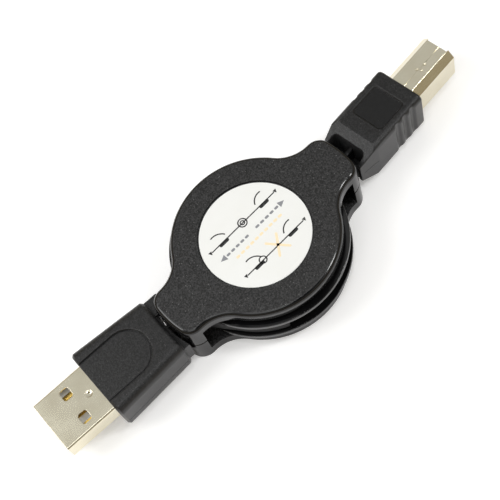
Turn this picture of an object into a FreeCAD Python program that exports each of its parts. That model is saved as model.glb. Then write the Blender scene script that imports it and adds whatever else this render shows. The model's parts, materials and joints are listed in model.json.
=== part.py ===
import FreeCAD, Part
import math
import os

# Retractable reel cable, type A plug to type B plug, in millimetres.
# The origin is on the reel's axis at its underside, +X runs from plug A to plug B and +Z is up.

V = FreeCAD.Vector
UP = V(0, 0, 1)
QUADRANTS = ((1, 1), (-1, 1), (-1, -1), (1, -1))

# Reel covers: a round plate with two ears, the same outline above and below
COVER_RADIUS = 17.2
REEL_HEIGHT = 13.2
EAR_END_RADIUS = 24.3
EAR_HALF_WIDTH = 6.1
EAR_CORNER_RADIUS = 3.2
NECK_RADIUS = 7.5
COVER_THICKNESS = 2.5
COVER_EDGE_BEVEL = 0.6
EAR_POST_DEPTH = 3.4
EAR_SLOT_WIDTH = 4.2

# Label and the screw below it
LABEL_RADIUS = 11.35
LABEL_THICKNESS = 0.15
LABEL_RECESS_DEPTH = 0.35
LABEL_MARGIN = 0.25
SCREW_RADIUS = 0.9
SCREW_HEAD_RADIUS = 1.9
SCREW_HEAD_HEIGHT = 1.0
SCREW_LENGTH = 4.0
SCREW_SLOT_WIDTH = 0.5
SCREW_SLOT_DEPTH = 0.5

# Spool, turning on the bottom cover's centre post
POST_RADIUS = 3.0
SPOOL_RADIUS = 18.2
FLANGE_THICKNESS = 1.0
HUB_RADIUS = 9.0
HUB_WALL = 1.2
HUB_ROOF = 1.2
AXIAL_GAP = 0.3
RUNNING_GAP = 0.05

# Ratchet: a roller in the top cover's radial slot and a notched ring on the spool
ROLLER_RADIUS = 1.1
ROLLER_HEIGHT = 2.0
ROLLER_LANE_RADIUS = 7.7
ROLLER_TRAVEL = 1.5
ROLLER_GAP = 0.1
NOTCH_COUNT = 3

# Flat spiral power spring
SPRING_STRIP = 0.3
SPRING_HEIGHT = 4.6
SPRING_HALF_TURNS = 3
SPRING_HOOK = 0.6
SPRING_TAB = 1.4
SPRING_SLOT_GAP = 0.1

# Flat cable, wound on edge
CABLE_THICKNESS = 0.9
CABLE_WIDTH = 3.4
CABLE_SIDE_GAP = 0.2
CABLE_LAYER_GAP = 0.15
WINDING_RADIUS = 16.4
LEAD_WRAP = 30.0
LEAD_BEND_RADIUS = 3.0
LEAD_BEND_SETBACK = 3.0
LEAD_SOCKET = 1.0

# How each plug sits at its ear: sideways shift, and lean of the tip towards +Y in degrees
PLUG_A_SHIFT = 1.3
PLUG_A_LEAN = 3.8
PLUG_B_SHIFT = 0.6
PLUG_B_LEAN = 4.0
PRONG_GAP = 0.3

# Type A plug
A_BODY_LENGTH = 17.3
A_FRONT_WIDTH = 16.7
A_BACK_WIDTH = 14.3
A_BODY_HEIGHT = 9.0
A_SHOULDER_RADIUS = 2.0
A_END_BEVEL = 0.5
A_BACK_GAP = 0.7
A_PRONG_WIDTHS = (3.8, 1.9)
A_COLLAR_WIDTH = 5.4
A_PRONG_INSET = 0.7
A_PRONG_LENGTH = 3.0
A_PRONG_HEIGHT = 5.2
A_PANEL_WIDTH = 10.3
A_PANEL_LENGTH = 13.4
PANEL_DEPTH = 0.35
A_SHELL_WIDTH = 12.0
A_SHELL_HEIGHT = 4.5
A_SHELL_LENGTH = 11.75
A_SHELL_CORNER = 0.6
SHELL_WALL = 0.3
SHELL_ROOT = 2.5
A_WINDOW_LENGTH = 2.1
A_WINDOW_WIDTH = 2.4
A_WINDOW_BEVEL = 0.35
A_WINDOW_FROM_TIP = 6.35
A_WINDOW_OFFSET = 3.1
A_TONGUE_HEIGHT = 1.9
A_TONGUE_SETBACK = 0.4
A_CONTACT_WIDTH = 1.0
A_CONTACT_THICKNESS = 0.25
A_CONTACT_OFFSETS = (-3.5, -1.0, 1.0, 3.5)
A_CONTACT_SETBACKS = (0.8, 1.8, 1.8, 0.8)

# Type B plug
B_BODY_LENGTH = 19.2
B_BODY_WIDTH = 11.4
B_BODY_HEIGHT = 10.4
B_CORNER_RADIUS = 1.3
B_BACK_GAP = 0.05
B_SLOPE_LENGTH = 4.95
B_BACK_WIDTH = 9.8
B_BACK_HEIGHT = 5.5
B_NOTCH_WIDTH = 7.0
B_NOTCH_DEPTH = 2.75
B_NOTCH_BEVEL = 0.7
B_PANEL_SIZE = 7.4
B_PANEL_FROM_FRONT = 3.45
B_PANEL_BEVEL = 0.5
B_GRIP_MOUTH = 1.7
B_GRIP_FLOOR = 0.6
B_GRIP_DEPTH = 0.45
B_GRIP_FIRST = 3.3
B_GRIP_PITCH = 2.3
B_GRIP_COUNT = 3
B_SHELL_WIDTH = 8.0
B_SHELL_HEIGHT = 7.26
B_SHELL_BEVEL = 1.5
B_SHELL_LENGTH = 12.3
B_SHELL_TOP_SETBACK = 0.45
B_MOUTH_WIDTH = 5.7
B_MOUTH_HEIGHT = 3.2
B_MOUTH_DEPTH = 8.6
B_CORE_SETBACK = 0.6
B_CONTACT_WIDTH = 1.0
B_CONTACT_THICKNESS = 0.25
B_CONTACT_OFFSET = 1.25
B_CONTACT_SETBACK = 0.6

# Heights and radii that follow from the sizes above
MID_HEIGHT = REEL_HEIGHT / 2
WINDING_GAP = CABLE_WIDTH + 2 * CABLE_SIDE_GAP
FLANGE_TOP = MID_HEIGHT + WINDING_GAP / 2 + FLANGE_THICKNESS
POST_TOP = REEL_HEIGHT - COVER_THICKNESS
SPOOL_BASE = COVER_THICKNESS + AXIAL_GAP
SPOOL_TOP = POST_TOP - AXIAL_GAP
CHAMBER_RADIUS = HUB_RADIUS - HUB_WALL
CHAMBER_TOP = FLANGE_TOP - HUB_ROOF
RECESS_FLOOR = REEL_HEIGHT - LABEL_RECESS_DEPTH
RATCHET_RADIUS = ROLLER_LANE_RADIUS - ROLLER_RADIUS - ROLLER_GAP
ROLLER_BASE = FLANGE_TOP + RUNNING_GAP
LEAD_RADIUS = WINDING_RADIUS + CABLE_LAYER_GAP + CABLE_THICKNESS / 2
POST_FACE = EAR_END_RADIUS - EAR_POST_DEPTH
A_FRONT = A_BACK_GAP + A_BODY_LENGTH
B_FRONT = B_BACK_GAP + B_BODY_LENGTH


def box(low, high):
    size = high - low
    return Part.makeBox(size.x, size.y, size.z, low)


def disc(radius, low, high, x=0.0, y=0.0):
    return Part.makeCylinder(radius, high - low, V(x, y, low), UP)


def polar(radius, degrees):
    angle = math.radians(degrees)
    return V(radius * math.cos(angle), radius * math.sin(angle), 0)


def arc_about(centre, start, end):
    # The shorter arc from start to end about a centre
    radius = (start - centre).Length
    middle = (start - centre) + (end - centre)
    middle.normalize()
    return Part.Arc(start, centre + middle * radius, end).toShape()


def prism(edges, low, high):
    face = Part.Face(Part.Wire(Part.__sortEdges__(edges)))
    return face.translated(UP * low).extrude(UP * (high - low))


def rounded_block(x0, x1, width, height, radius):
    # A bar along X whose section is a rounded rectangle about the X axis
    block = box(V(x0, -width / 2, -height / 2), V(x1, width / 2, height / 2))
    along = [e for e in block.Edges if abs(e.tangentAt(e.FirstParameter).x) > 0.99]
    return block.makeFillet(radius, along)


def upright_edges(plate):
    return [e for e in plate.Edges if abs(e.tangentAt(e.FirstParameter).z) > 0.99]


def bevelled_plate(x0, x1, width, bevel, low, high):
    # A plate centred on the X axis, with the corners of its plan cut off
    plate = box(V(x0, -width / 2, low), V(x1, width / 2, high))
    return plate.makeChamfer(bevel, upright_edges(plate))


def plug_section(x, width, height, radius):
    # A rounded rectangle across a plug, as a wire for lofting
    half_y = width / 2
    half_z = height / 2
    flat_y = half_y - radius
    flat_z = half_z - radius
    edges = []
    for sy, sz in QUADRANTS:
        centre = V(x, sy * flat_y, sz * flat_z)
        edges.append(arc_about(centre, centre + V(0, sy * radius, 0), centre + V(0, 0, sz * radius)))
    for side in (1, -1):
        edges.append(Part.makeLine(V(x, -flat_y, side * half_z), V(x, flat_y, side * half_z)))
        edges.append(Part.makeLine(V(x, side * half_y, -flat_z), V(x, side * half_y, flat_z)))
    return Part.Wire(Part.__sortEdges__(edges))


def strip(start, heading, moves, thickness, low, high):
    # A ribbon on edge that follows straight runs and tangent arcs: (length, turn), a turn in degrees
    half = thickness / 2
    left = []
    right = []
    point = start
    for length, turn in moves:
        side = polar(1, heading + 90)
        if turn == 0:
            end = point + polar(length, heading)
            for edges, offset in ((left, half), (right, -half)):
                edges.append(Part.makeLine(point + side * offset, end + side * offset))
            point = end
            continue
        sign = math.copysign(1, turn)
        centre = point + side * (sign * length)
        for edges, offset in ((left, half), (right, -half)):
            radius = length - sign * offset
            points = [centre - polar(sign * radius, heading + 90 + turn * share) for share in (0, 0.5, 1)]
            edges.append(Part.Arc(*points).toShape())
        point = centre - polar(sign * length, heading + 90 + turn)
        heading += turn
    starts = [edges[0].valueAt(edges[0].FirstParameter) for edges in (left, right)]
    finishes = [edges[-1].valueAt(edges[-1].LastParameter) for edges in (left, right)]
    caps = [Part.makeLine(*starts), Part.makeLine(*finishes)]
    return prism(left + right + caps, low, high)


def cover_outline(inset):
    # Circle, concave necks, straight ear sides, round corners and ear ends concentric with the reel
    radius = COVER_RADIUS - inset
    end_radius = EAR_END_RADIUS - inset
    half = EAR_HALF_WIDTH - inset
    corner = EAR_CORNER_RADIUS - inset
    neck = NECK_RADIUS + inset
    neck_centre = V(math.sqrt((radius + neck) ** 2 - (half + neck) ** 2), half + neck, 0)
    corner_centre = V(math.sqrt((end_radius - corner) ** 2 - (half - corner) ** 2), half - corner, 0)
    on_circle = neck_centre * (radius / (radius + neck))
    on_end = corner_centre * (end_radius / (end_radius - corner))
    edges = []
    for sx, sy in QUADRANTS:
        def flip(p):
            return V(p.x * sx, p.y * sy, 0)
        neck_foot = flip(V(neck_centre.x, half, 0))
        corner_foot = flip(V(corner_centre.x, half, 0))
        edges.append(arc_about(flip(neck_centre), flip(on_circle), neck_foot))
        edges.append(Part.makeLine(neck_foot, corner_foot))
        edges.append(arc_about(flip(corner_centre), corner_foot, flip(on_end)))
    for side in (1, -1):
        edges.append(Part.Arc(V(on_circle.x, side * on_circle.y, 0), V(0, side * radius, 0),
                              V(-on_circle.x, side * on_circle.y, 0)).toShape())
        edges.append(Part.Arc(V(side * on_end.x, on_end.y, 0), V(side * end_radius, 0, 0),
                              V(side * on_end.x, -on_end.y, 0)).toShape())
    return edges


def cover_shell(plate):
    # One cover as it lies on its outer face: the plate with four ear posts up to mid-height
    shell = plate
    ears = prism(cover_outline(0), COVER_THICKNESS, MID_HEIGHT)
    for sx, sy in QUADRANTS:
        corner = sorted((sx * POST_FACE, sx * EAR_END_RADIUS))
        flank = sorted((sy * EAR_SLOT_WIDTH / 2, sy * EAR_HALF_WIDTH))
        room = box(V(corner[0], flank[0], COVER_THICKNESS), V(corner[1], flank[1], MID_HEIGHT))
        shell = shell.fuse(ears.common(room))
    return shell.removeSplitter()


def bottom_cover():
    cover = cover_shell(prism(cover_outline(0), 0, COVER_THICKNESS))
    post = disc(POST_RADIUS, COVER_THICKNESS, POST_TOP)
    screw_end = RECESS_FLOOR - SCREW_HEAD_HEIGHT - SCREW_LENGTH
    post = post.cut(disc(SCREW_RADIUS + RUNNING_GAP, screw_end - RUNNING_GAP, POST_TOP))
    slot_half = SPRING_STRIP / 2 + SPRING_SLOT_GAP
    post = post.cut(box(V(POST_RADIUS - SPRING_TAB, -SPRING_HOOK - slot_half, SPOOL_BASE),
                        V(POST_RADIUS, -SPRING_HOOK + slot_half, POST_TOP)))
    return cover.fuse(post).removeSplitter()


def top_cover():
    plate = prism(cover_outline(0), 0, COVER_THICKNESS)
    rim = [e for e in plate.Edges if e.BoundBox.ZMax < COVER_EDGE_BEVEL]
    cover = cover_shell(plate.makeChamfer(COVER_EDGE_BEVEL, rim)).mirror(V(0, 0, MID_HEIGHT), UP)
    cover = cover.cut(disc(LABEL_RADIUS + LABEL_MARGIN, RECESS_FLOOR, REEL_HEIGHT))
    cover = cover.cut(disc(SCREW_HEAD_RADIUS + RUNNING_GAP, RECESS_FLOOR - SCREW_HEAD_HEIGHT, RECESS_FLOOR))
    cover = cover.cut(disc(SCREW_RADIUS + RUNNING_GAP, POST_TOP, RECESS_FLOOR))
    half = ROLLER_RADIUS + RUNNING_GAP
    slot_roof = ROLLER_BASE + ROLLER_HEIGHT + ROLLER_GAP
    return cover.cut(box(V(-half, ROLLER_LANE_RADIUS - ROLLER_TRAVEL - half, POST_TOP),
                         V(half, ROLLER_LANE_RADIUS + half, slot_roof)))


def label():
    return disc(LABEL_RADIUS, RECESS_FLOOR, RECESS_FLOOR + LABEL_THICKNESS)


def cover_screw():
    seat = RECESS_FLOOR - SCREW_HEAD_HEIGHT
    screw = disc(SCREW_HEAD_RADIUS, seat, RECESS_FLOOR)
    screw = screw.fuse(disc(SCREW_RADIUS, seat - SCREW_LENGTH, seat))
    reach = SCREW_HEAD_RADIUS - SCREW_SLOT_WIDTH
    for x, y in ((reach, SCREW_SLOT_WIDTH / 2), (SCREW_SLOT_WIDTH / 2, reach)):
        screw = screw.cut(box(V(-x, -y, RECESS_FLOOR - SCREW_SLOT_DEPTH), V(x, y, RECESS_FLOOR)))
    return screw.removeSplitter()


def spool():
    # Spring chamber, hub, two flanges and the ratchet ring, with notches for the roller
    bore = POST_RADIUS + RUNNING_GAP
    section = [(CHAMBER_RADIUS, SPOOL_BASE), (HUB_RADIUS, SPOOL_BASE)]
    for base in (REEL_HEIGHT - FLANGE_TOP, FLANGE_TOP - FLANGE_THICKNESS):
        top = base + FLANGE_THICKNESS
        section += [(HUB_RADIUS, base), (SPOOL_RADIUS, base), (SPOOL_RADIUS, top), (HUB_RADIUS, top)]
    section[-1] = (RATCHET_RADIUS, FLANGE_TOP)
    section += [(RATCHET_RADIUS, SPOOL_TOP), (bore, SPOOL_TOP)]
    section += [(bore, CHAMBER_TOP), (CHAMBER_RADIUS, CHAMBER_TOP)]
    points = [V(r, 0, z) for r, z in section]
    body = Part.Face(Part.makePolygon(points + points[:1])).revolve(V(0, 0, 0), UP, 360)
    notch_half = ROLLER_RADIUS + ROLLER_GAP
    notch_floor = ROLLER_LANE_RADIUS - ROLLER_TRAVEL - notch_half
    for index in range(NOTCH_COUNT):
        notch = box(V(-notch_half, notch_floor, FLANGE_TOP), V(notch_half, ROLLER_LANE_RADIUS, SPOOL_TOP))
        notch.rotate(V(0, 0, 0), UP, index * 360 / NOTCH_COUNT)
        body = body.cut(notch)
    half = SPRING_STRIP / 2 + SPRING_SLOT_GAP
    hook_notch = box(V(-CHAMBER_RADIUS - SPRING_HOOK, -SPRING_HOOK - half, SPOOL_BASE),
                     V(-CHAMBER_RADIUS + HUB_WALL, -SPRING_HOOK + half, CHAMBER_TOP))
    return body.cut(hook_notch).removeSplitter()


def power_spring():
    # From the post's slot, out through half circles of growing radius, to the notch in the hub
    first = POST_RADIUS + SPRING_HOOK
    last = CHAMBER_RADIUS - SPRING_HOOK - SPRING_STRIP
    growth = (last - first) / (SPRING_HALF_TURNS - 1)
    inner_end = POST_RADIUS - SPRING_TAB + SPRING_SLOT_GAP
    moves = [(first - SPRING_HOOK - inner_end, 0), (SPRING_HOOK, 90)]
    moves += [(first + growth * index, 180) for index in range(SPRING_HALF_TURNS)]
    reach = 2 * sum(first + growth * index for index in range(0, SPRING_HALF_TURNS, 2))
    reach -= 2 * sum(first + growth * index for index in range(1, SPRING_HALF_TURNS, 2))
    outer_end = reach - first + SPRING_HOOK
    moves += [(SPRING_HOOK, -90), (CHAMBER_RADIUS + SPRING_HOOK - SPRING_SLOT_GAP - outer_end, 0)]
    base = SPOOL_BASE + AXIAL_GAP
    return strip(V(inner_end, -SPRING_HOOK, 0), 0, moves, SPRING_STRIP, base, base + SPRING_HEIGHT)


def ratchet_roller():
    return disc(ROLLER_RADIUS, ROLLER_BASE, ROLLER_BASE + ROLLER_HEIGHT, 0, ROLLER_LANE_RADIUS)


def cable_winding():
    low = MID_HEIGHT - CABLE_WIDTH / 2
    ring = disc(WINDING_RADIUS, low, low + CABLE_WIDTH)
    return ring.cut(disc(HUB_RADIUS + RUNNING_GAP, low, low + CABLE_WIDTH))


def plug_axis(side):
    # Where the plug's axis leaves the ear, and the way it points: side is -1 for A and 1 for B
    if side < 0:
        return V(-EAR_END_RADIUS, PLUG_A_SHIFT, 0), 180 - PLUG_A_LEAN
    return V(EAR_END_RADIUS, PLUG_B_SHIFT, 0), PLUG_B_LEAN


def place(shape, side):
    # From a plug's own frame (X outwards from the ear's end, Z about mid-height) to the reel's frame
    start, heading = plug_axis(side)
    placed = shape.copy()
    placed.rotate(V(0, 0, 0), UP, heading)
    placed.translate(start + UP * MID_HEIGHT)
    return placed


def cable_lead(side, socket_end):
    # The end of the outer turn, the run to the ear, the bend in its slot and the run to the plug
    start, heading = plug_axis(side)
    corner = start - polar(LEAD_BEND_SETBACK, heading)
    bearing = math.degrees(math.atan2(corner.y, corner.x))
    touch = bearing + math.degrees(math.acos(LEAD_RADIUS / corner.Length))
    run_heading = touch - 90
    turn = (heading - run_heading + 180) % 360 - 180
    bend = LEAD_BEND_RADIUS * math.tan(math.radians(turn / 2))
    run = (corner - polar(LEAD_RADIUS, touch)).Length
    moves = [(LEAD_RADIUS, -LEAD_WRAP), (run - bend, 0), (LEAD_BEND_RADIUS, turn),
             (LEAD_BEND_SETBACK - bend + socket_end, 0)]
    low = MID_HEIGHT - CABLE_WIDTH / 2
    return strip(polar(LEAD_RADIUS, touch + LEAD_WRAP), run_heading + LEAD_WRAP, moves,
                 CABLE_THICKNESS, low, low + CABLE_WIDTH)


def lead_socket(start, back):
    # The slot that a tail enters, from its start to a little past the plug's back
    half = CABLE_THICKNESS / 2 + RUNNING_GAP
    tall = CABLE_WIDTH / 2 + RUNNING_GAP
    return box(V(start, -half, -tall), V(back + LEAD_SOCKET, half, tall))


def ear_clearance():
    # The cylinder about the reel's axis that plug A's prongs stay outside of, in the plug's own frame
    start, heading = plug_axis(-1)
    cylinder = disc(EAR_END_RADIUS + PRONG_GAP, -MID_HEIGHT, MID_HEIGHT)
    cylinder.translate(-start)
    cylinder.rotate(V(0, 0, 0), UP, -heading)
    return cylinder


def a_shell_outline(x0, x1):
    return rounded_block(x0, x1, A_SHELL_WIDTH, A_SHELL_HEIGHT, A_SHELL_CORNER)


def a_shell_space(x0, x1):
    # The room inside the folded shell
    half_y = A_SHELL_WIDTH / 2 - SHELL_WALL
    half_z = A_SHELL_HEIGHT / 2 - SHELL_WALL
    return box(V(x0, -half_y, -half_z), V(x1, half_y, half_z))


def a_overmould():
    # Widening from back to front with both ends bevelled, a panel on top, two prongs and a cable collar
    stations = [(A_BACK_GAP, A_BACK_WIDTH, A_END_BEVEL), (A_BACK_GAP + A_END_BEVEL, A_BACK_WIDTH, 0),
                (A_FRONT - A_END_BEVEL, A_FRONT_WIDTH, 0), (A_FRONT, A_FRONT_WIDTH, A_END_BEVEL)]
    sections = [plug_section(x, width - 2 * inset, A_BODY_HEIGHT - 2 * inset, A_SHOULDER_RADIUS - inset)
                for x, width, inset in stations]
    body = Part.makeLoft(sections, True, True)
    top = A_BODY_HEIGHT / 2
    round_end = A_FRONT - A_PANEL_LENGTH + A_PANEL_WIDTH / 2
    panel = box(V(round_end, -A_PANEL_WIDTH / 2, top - PANEL_DEPTH), V(A_FRONT, A_PANEL_WIDTH / 2, top))
    panel = panel.fuse(disc(A_PANEL_WIDTH / 2, top - PANEL_DEPTH, top, round_end))
    body = body.cut(panel.removeSplitter())
    outer = A_BACK_WIDTH / 2 - A_PRONG_INSET
    root = A_BACK_GAP + 2 * A_END_BEVEL
    near, far = A_PRONG_WIDTHS
    half = A_COLLAR_WIDTH / 2
    for left, right in ((outer - near, outer), (-half, half), (-outer, far - outer)):
        prong = box(V(root - A_PRONG_LENGTH, left, -A_PRONG_HEIGHT / 2), V(root, right, A_PRONG_HEIGHT / 2))
        body = body.fuse(prong)
    body = body.cut(ear_clearance())
    body = body.cut(a_shell_outline(A_FRONT - SHELL_ROOT, A_FRONT))
    return body.cut(lead_socket(root - A_PRONG_LENGTH, A_BACK_GAP)).removeSplitter()


def a_shell():
    tip = A_FRONT + A_SHELL_LENGTH
    root = A_FRONT - SHELL_ROOT
    shell = a_shell_outline(root, tip).cut(a_shell_space(root, tip))
    half = A_SHELL_HEIGHT / 2
    for side in (1, -1):
        window = bevelled_plate(tip - A_WINDOW_FROM_TIP - A_WINDOW_LENGTH / 2,
                                tip - A_WINDOW_FROM_TIP + A_WINDOW_LENGTH / 2,
                                A_WINDOW_WIDTH, A_WINDOW_BEVEL, -half, half)
        window.translate(V(0, side * A_WINDOW_OFFSET, 0))
        shell = shell.cut(window)
    return shell


def a_insulator():
    # The tongue fills the shell's lower part, with a full block at its root
    tip = A_FRONT + A_SHELL_LENGTH
    root = A_FRONT - SHELL_ROOT
    block = a_shell_space(root, tip - A_TONGUE_SETBACK)
    tongue_top = -A_SHELL_HEIGHT / 2 + SHELL_WALL + A_TONGUE_HEIGHT
    space = box(V(A_FRONT, -A_SHELL_WIDTH / 2, tongue_top), V(tip, A_SHELL_WIDTH / 2, A_SHELL_HEIGHT / 2))
    return block.cut(space)


def a_contact(offset, setback):
    tip = A_FRONT + A_SHELL_LENGTH
    tongue_top = -A_SHELL_HEIGHT / 2 + SHELL_WALL + A_TONGUE_HEIGHT
    half = A_CONTACT_WIDTH / 2
    return box(V(A_FRONT, offset - half, tongue_top),
               V(tip - A_TONGUE_SETBACK - setback, offset + half, tongue_top + A_CONTACT_THICKNESS))


def back_slope(back_size, size, across, along):
    # The wedge cut off one side of plug B so that it narrows towards its back
    points = [V(B_BACK_GAP, 0, 0) + across * (back_size / 2),
              V(B_BACK_GAP + B_SLOPE_LENGTH, 0, 0) + across * (size / 2),
              V(B_BACK_GAP, 0, 0) + across * (size / 2)]
    points = [point - along * (B_BODY_WIDTH / 2) for point in points]
    return Part.Face(Part.makePolygon(points + points[:1])).extrude(along * B_BODY_WIDTH)


def b_overmould():
    body = rounded_block(B_BACK_GAP, B_FRONT, B_BODY_WIDTH, B_BODY_HEIGHT, B_CORNER_RADIUS)
    for side in (1, -1):
        body = body.cut(back_slope(B_BACK_HEIGHT, B_BODY_HEIGHT, UP * side, V(0, 1, 0)))
        body = body.cut(back_slope(B_BACK_WIDTH, B_BODY_WIDTH, V(0, side, 0), UP))
    top = B_BODY_HEIGHT / 2
    panel_end = B_FRONT - B_PANEL_FROM_FRONT
    body = body.cut(bevelled_plate(panel_end - B_PANEL_SIZE, panel_end, B_PANEL_SIZE, B_PANEL_BEVEL,
                                   top - PANEL_DEPTH, top))
    for index in range(B_GRIP_COUNT):
        for side in (1, -1):
            body = body.cut(b_grip(B_FRONT - B_GRIP_FIRST - index * B_GRIP_PITCH, side))
    notch_end = B_BACK_GAP + B_NOTCH_DEPTH
    body = body.cut(bevelled_plate(-B_NOTCH_DEPTH, notch_end, B_NOTCH_WIDTH, B_NOTCH_BEVEL, -top, top))
    body = body.cut(b_shell_outline(B_FRONT - SHELL_ROOT, B_FRONT, 0))
    return body.cut(lead_socket(notch_end, notch_end)).removeSplitter()


def b_grip(x, side):
    # A finger groove across the flank, with slanted walls
    outer = side * B_BODY_WIDTH / 2
    inner = side * (B_BODY_WIDTH / 2 - B_GRIP_DEPTH)
    corners = [(x - B_GRIP_MOUTH / 2, outer), (x - B_GRIP_FLOOR / 2, inner),
               (x + B_GRIP_FLOOR / 2, inner), (x + B_GRIP_MOUTH / 2, outer)]
    points = [V(px, py, -B_BODY_HEIGHT / 2) for px, py in corners]
    return Part.Face(Part.makePolygon(points + points[:1])).extrude(UP * B_BODY_HEIGHT)


def b_shell_outline(x0, x1, inset):
    # Square below, with the two upper corners cut off at 45 degrees
    half_y = B_SHELL_WIDTH / 2 - inset
    half_z = B_SHELL_HEIGHT / 2 - inset
    bevel = B_SHELL_BEVEL - inset * (2 - math.sqrt(2))
    corners = [(-half_y, -half_z), (half_y, -half_z), (half_y, half_z - bevel),
               (half_y - bevel, half_z), (bevel - half_y, half_z), (-half_y, half_z - bevel)]
    points = [V(x0, y, z) for y, z in corners]
    return Part.Face(Part.makePolygon(points + points[:1])).extrude(V(x1 - x0, 0, 0))


def b_shell():
    tip = B_FRONT + B_SHELL_LENGTH
    root = B_FRONT - SHELL_ROOT
    shell = b_shell_outline(root, tip, 0).cut(b_shell_outline(root, tip, SHELL_WALL))
    flat = B_SHELL_WIDTH / 2 - B_SHELL_BEVEL
    return shell.cut(box(V(tip - B_SHELL_TOP_SETBACK, -flat, 0), V(tip, flat, B_SHELL_HEIGHT / 2)))


def b_insulator():
    tip = B_FRONT + B_SHELL_LENGTH
    core = b_shell_outline(B_FRONT - SHELL_ROOT, tip - B_CORE_SETBACK, SHELL_WALL)
    mouth = box(V(tip - B_MOUTH_DEPTH, -B_MOUTH_WIDTH / 2, -B_MOUTH_HEIGHT / 2),
                V(tip, B_MOUTH_WIDTH / 2, B_MOUTH_HEIGHT / 2))
    return core.cut(mouth)


def b_contact(offset, side):
    # A blade on the upper or lower wall of the mouth
    tip = B_FRONT + B_SHELL_LENGTH
    wall = sorted((side * B_MOUTH_HEIGHT / 2, side * (B_MOUTH_HEIGHT / 2 - B_CONTACT_THICKNESS)))
    half = B_CONTACT_WIDTH / 2
    return box(V(tip - B_MOUTH_DEPTH, offset - half, wall[0]),
               V(tip - B_CORE_SETBACK - B_CONTACT_SETBACK, offset + half, wall[1]))


def plug_a_nodes():
    nodes = {
        "plug_a_overmould": a_overmould(),
        "plug_a_shell": a_shell(),
        "plug_a_insulator": a_insulator(),
    }
    for index, (offset, setback) in enumerate(zip(A_CONTACT_OFFSETS, A_CONTACT_SETBACKS)):
        nodes["plug_a_contact_%d" % (index + 1)] = a_contact(offset, setback)
    return {name: place(shape, -1) for name, shape in nodes.items()}


def plug_b_nodes():
    nodes = {
        "plug_b_overmould": b_overmould(),
        "plug_b_shell": b_shell(),
        "plug_b_insulator": b_insulator(),
    }
    blades = [(offset, side) for side in (1, -1) for offset in (B_CONTACT_OFFSET, -B_CONTACT_OFFSET)]
    for index, (offset, side) in enumerate(blades):
        nodes["plug_b_contact_%d" % (index + 1)] = b_contact(offset, side)
    return {name: place(shape, 1) for name, shape in nodes.items()}


def reel_nodes():
    return {
        "top_cover": top_cover(),
        "bottom_cover": bottom_cover(),
        "label": label(),
        "cover_screw": cover_screw(),
        "spool": spool(),
        "power_spring": power_spring(),
        "ratchet_roller": ratchet_roller(),
        "cable_winding": cable_winding(),
        "cable_lead_a": cable_lead(-1, A_BACK_GAP + LEAD_SOCKET),
        "cable_lead_b": cable_lead(1, B_BACK_GAP + B_NOTCH_DEPTH + LEAD_SOCKET),
    }


def main():
    os.makedirs("parts", exist_ok=True)
    nodes = {}
    nodes.update(reel_nodes())
    nodes.update(plug_a_nodes())
    nodes.update(plug_b_nodes())
    for name, shape in nodes.items():
        print(name, shape.isValid(), len(shape.Solids), round(shape.Volume, 2))
        shape.exportStep("parts/%s.step" % name)


main()
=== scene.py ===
import bmesh
import bpy
import json
import math
from mathutils import Matrix, Vector


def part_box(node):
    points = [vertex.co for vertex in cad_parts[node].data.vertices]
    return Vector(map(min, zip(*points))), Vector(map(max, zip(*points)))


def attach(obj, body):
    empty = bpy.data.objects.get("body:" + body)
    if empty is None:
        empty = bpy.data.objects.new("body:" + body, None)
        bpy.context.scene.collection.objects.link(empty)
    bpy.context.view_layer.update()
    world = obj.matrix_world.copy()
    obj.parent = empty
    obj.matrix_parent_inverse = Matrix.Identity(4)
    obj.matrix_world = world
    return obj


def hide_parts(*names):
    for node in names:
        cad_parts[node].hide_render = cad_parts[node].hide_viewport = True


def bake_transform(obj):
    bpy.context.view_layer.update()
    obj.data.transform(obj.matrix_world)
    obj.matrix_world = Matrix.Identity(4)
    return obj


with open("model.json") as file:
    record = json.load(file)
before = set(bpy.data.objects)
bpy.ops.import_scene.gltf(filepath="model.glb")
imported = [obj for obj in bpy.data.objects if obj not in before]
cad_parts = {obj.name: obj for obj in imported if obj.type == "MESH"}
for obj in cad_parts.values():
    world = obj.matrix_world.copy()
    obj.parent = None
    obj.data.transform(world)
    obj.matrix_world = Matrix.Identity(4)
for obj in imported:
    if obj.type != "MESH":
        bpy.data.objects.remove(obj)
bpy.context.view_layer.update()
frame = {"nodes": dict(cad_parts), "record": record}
mm = 0.001  # sizes below are written in millimetres and multiplied by this
weld = 0.002  # corners closer than this are one corner
levelSlack = 0.02  # a corner this close to a level lies on it
flatAngle = math.radians(0.5)  # faces that meet at less than this are one flat
smoothAngle = math.radians(40)  # faces that meet at less than this are shaded as one

# where things are, read from the frame: each plug's tip and heading, and the reel's levels
plugs = {}
for mount in frame["record"]["mounts"]:
    if mount["name"].endswith("_plug"):
        letter = mount["name"].split("_")[1]
        plugs[letter] = {"tip": Vector(mount["pos_m"]) / mm, "way": Vector(mount["axis"])}
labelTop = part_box("label")[1].z / mm
windingLow, windingHigh = [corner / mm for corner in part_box("cable_winding")]
cableMiddle = (windingHigh.z + windingLow.z) / 2
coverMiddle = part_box("top_cover")[1].z / mm / 2
print("levels: label", round(labelTop, 2), "covers meet", round(coverMiddle, 2))


def onPlug(plug, back, left, up):
    # a place on a plug: back from its tip, left of its axis and above it, in mm
    way = plugs[plug]["way"]
    return plugs[plug]["tip"] - way * back + Vector((-way.y, way.x, 0)) * left + Vector((0, 0, up))


def fromTip(plug, place):
    # the other way round: how far a place is back from a plug's tip, left of its axis and above it
    reach = place - plugs[plug]["tip"]
    way = plugs[plug]["way"]
    return -reach.dot(way), reach.dot(Vector((-way.y, way.x, 0))), reach.z


def heading(plug):
    return math.atan2(plugs[plug]["way"].y, plugs[plug]["way"].x)


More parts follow.
